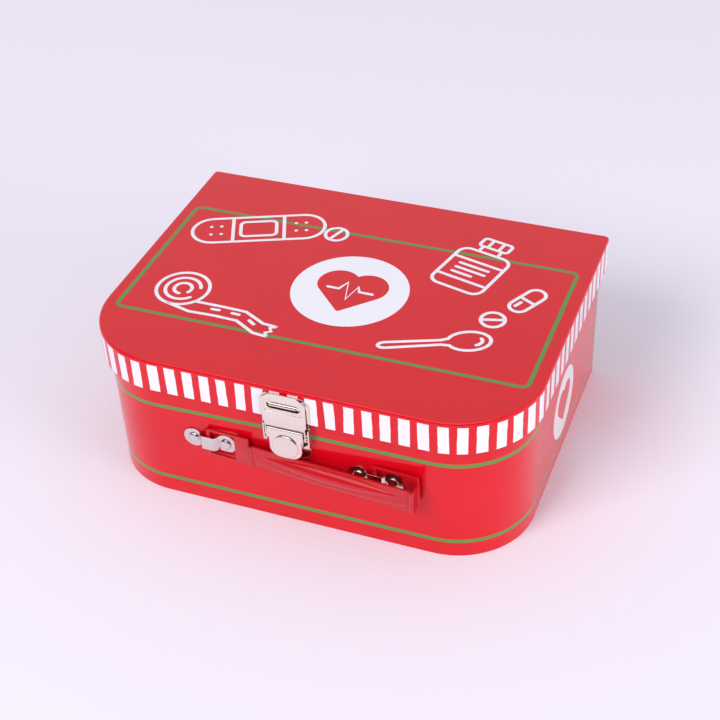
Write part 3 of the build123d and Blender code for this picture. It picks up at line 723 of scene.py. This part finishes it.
PLASTER = [
    pill((0, 0), 78, 25, 12.4),
    [(-15, -12.5), (-15, 12.5)],
    [(15, -12.5), (15, 12.5)],
    pill((0, 0), 21, 15, 3),
    *[[(x, y), (x + 0.1, y)] for x in (-28, -22, 22, 28) for y in (-4, 4)],
]
ROLL = [
    arc((0, 0), 15, 15, 0, 360, 40),
    arc((0, 0), 10, 10, 30, 330),
    arc((0, 0), 5, 5, -20, 280),
    [(0, -15), (16, -15.6), (30, -12), (44, -9.5), (58, -14), (66, -13)],
    [(13.5, -6.5), (30, -3), (44, -0.5), (58, -4.5), (66, -3.6)],
    [(66, -13), (63.6, -10.5), (66, -8.2), (63.6, -6), (66, -3.6)],
    [(26, -7.6), (30, -6.6)],
    [(38, -5.2), (42, -4.6)],
    [(50, -6), (54, -7.6)],
]
BOTTLE = [
    pill((0, -4), 32, 38, 6),
    [(-6, 15), (-6, 20.5)],
    [(6, 15), (6, 20.5)],
    pill((0, 24.6), 18, 8, 2),
    [(-3.5, 21), (-3.5, 28)],
    [(3.5, 21), (3.5, 28)],
    [(-16, 5), (16, 5)],
    [(-16, -14), (16, -14)],
    [(-9, 0), (9, 0)],
    [(-9, -4.5), (9, -4.5)],
    [(-9, -9), (3, -9)],
]
SPOON = [
    arc((-20, 0), 11.5, 8, 22, 338),
    [(-9.4, 3), (-5, 1.9), (24, 2.4)],
    [(-9.4, -3), (-5, -1.9), (24, -2.4)],
    arc((24, 0), 4, 2.4, -90, 90, 12),
    arc((-20, 0), 7, 4.4, 120, 200, 10),
]
CAPSULE = [pill((0, 0), 24, 10.5, 5.2), [(0, -5.2), (0, 5.2)], [(-8, 1.6), (-3.5, 1.6)]]
TABLET = [arc((0, 0), 6.5, 6.5, 0, 360), [(-4.6, 0), (4.6, 0)]]
PULSE = [[(-13, 0), (-6.5, 0), (-3.5, 7), (0.5, -8.5), (3.5, 4.5), (5.5, 0), (13, 0)]]

# Each drawing with its place on the lid and its turn in degrees
DRAWINGS = (
    (PLASTER, (-72, 40), 22),
    (ROLL, (-88, -28), -12),
    (BOTTLE, (60, 40), -14),
    (SPOON, (59, -33), 202),
    (CAPSULE, (97, 18), 62),
    (TABLET, (84, -4), 15),
    (TABLET, (-26, 48), 70),
    (PULSE, LID_DISC, 0),
)


def print_lines():
    """Every white drawing as flat rounded strokes of ink."""
    lines = [line for drawing in DRAWINGS for line in draw(*drawing)]
    data = bpy.data.curves.new("strokes", "CURVE")
    data.dimensions = "3D"
    data.bevel_depth = STROKE
    data.bevel_resolution = 3
    data.use_fill_caps = True
    build = bmesh.new()
    for line in lines:
        closed = line[0] == line[-1]
        points = line[:-1] if closed else line
        spline = data.splines.new("POLY")
        spline.points.add(len(points) - 1)
        for point, (x, y) in zip(spline.points, points):
            point.co = (x, y, 0, 1)
        spline.use_cyclic_u = closed
        for x, y in [] if closed else (points[0], points[-1]):
            end = Matrix.Translation((x, y, 0))
            bmesh.ops.create_uvsphere(
                build, u_segments=12, v_segments=8, radius=STROKE, matrix=end
            )
    curve = bpy.data.objects.new("strokes", data)
    build.from_mesh(bpy.data.meshes.new_from_object(curve))
    for vert in build.verts:
        vert.co = Vector((vert.co.x, vert.co.y, TOP + vert.co.z * INK_HEIGHT / STROKE)) * MM
    for face in build.faces:
        face.smooth = True
    bpy.data.objects.remove(curve)
    shown("print_top_lines", build, INK, "lid")


print_lines()

# ---------------------------------------------------------------- floor and studio

FLOOR_COLOUR = (0.885, 0.85, 0.96)
PALE = (0.96, 0.95, 1.0)

# Strength of the pale light: on the case, behind it in the picture, and in shiny surfaces
EVEN_LIGHT = 0.61
BEHIND = 0.9
MIRRORED_REAR = 0.9
MIRRORED_FRONT = 0.05
MIRRORED_CEILING = 3.0


def backdrop(tree, strength):
    """A background of pale light of some strength."""
    node = tree.nodes.new("ShaderNodeBackground")
    node.inputs["Color"].default_value = (*PALE, 1)
    node.inputs["Strength"].default_value = strength
    return node


def glow(tree, axis, start, end, low, high):
    """Strength that rises smoothly with one axis of the direction looked in."""
    direction = tree.nodes.new("ShaderNodeTexCoord")
    axes = tree.nodes.new("ShaderNodeSeparateXYZ")
    tree.links.new(direction.outputs["Generated"], axes.inputs["Vector"])
    shade = tree.nodes.new("ShaderNodeMapRange")
    shade.interpolation_type = "SMOOTHSTEP"
    span = {"From Min": start, "From Max": end, "To Min": low, "To Max": high}
    for socket, value in span.items():
        shade.inputs[socket].default_value = value
    tree.links.new(axes.outputs[axis], shade.inputs["Value"])
    return shade.outputs["Result"]


def surroundings():
    """Even pale light. Shiny surfaces see a pale rear and a dark front with a bright ceiling."""
    world = bpy.context.scene.world or bpy.data.worlds.new("studio")
    bpy.context.scene.world = world
    world.use_nodes = True
    tree = world.node_tree
    mirrored = backdrop(tree, 1)
    ceiling = tree.nodes.new("ShaderNodeMath")
    ceiling.operation = "MULTIPLY"
    tree.links.new(glow(tree, "Z", 0.72, 0.90, 0, MIRRORED_CEILING), ceiling.inputs[0])
    tree.links.new(glow(tree, "Y", -0.1, 0.15, 1, 0), ceiling.inputs[1])
    brightest = tree.nodes.new("ShaderNodeMath")
    brightest.operation = "MAXIMUM"
    level = glow(tree, "Y", -0.45, 0.15, MIRRORED_FRONT, MIRRORED_REAR)
    tree.links.new(level, brightest.inputs[0])
    tree.links.new(ceiling.outputs[0], brightest.inputs[1])
    tree.links.new(brightest.outputs[0], mirrored.inputs["Strength"])
    path = tree.nodes.new("ShaderNodeLightPath")
    surface = backdrop(tree, EVEN_LIGHT)
    behind = backdrop(tree, BEHIND)
    for ray, other in (("Is Glossy Ray", mirrored), ("Is Camera Ray", behind)):
        choice = tree.nodes.new("ShaderNodeMixShader")
        tree.links.new(path.outputs[ray], choice.inputs[0])
        tree.links.new(surface.outputs[0], choice.inputs[1])
        tree.links.new(other.outputs[0], choice.inputs[2])
        surface = choice
    tree.links.new(surface.outputs[0], tree.nodes["World Output"].inputs["Surface"])


def studio():
    """A pale paper floor under two soft lamps."""
    bpy.ops.mesh.primitive_plane_add(size=8)
    floor = bpy.context.object
    floor.name = "studio_floor"
    paper = Finish("studio_paper", Roughness=0.9, Base_Color=FLOOR_COLOUR)
    floor.data.materials.append(paper.material)
    surroundings()
    softbox("key", (-1250, -2550, 2250), 1700, 1700, 75.0, (1.0, 0.97, 0.96))
    softbox("fill", (2700, -650, 620), 1500, 1000, 42.0)


studio()
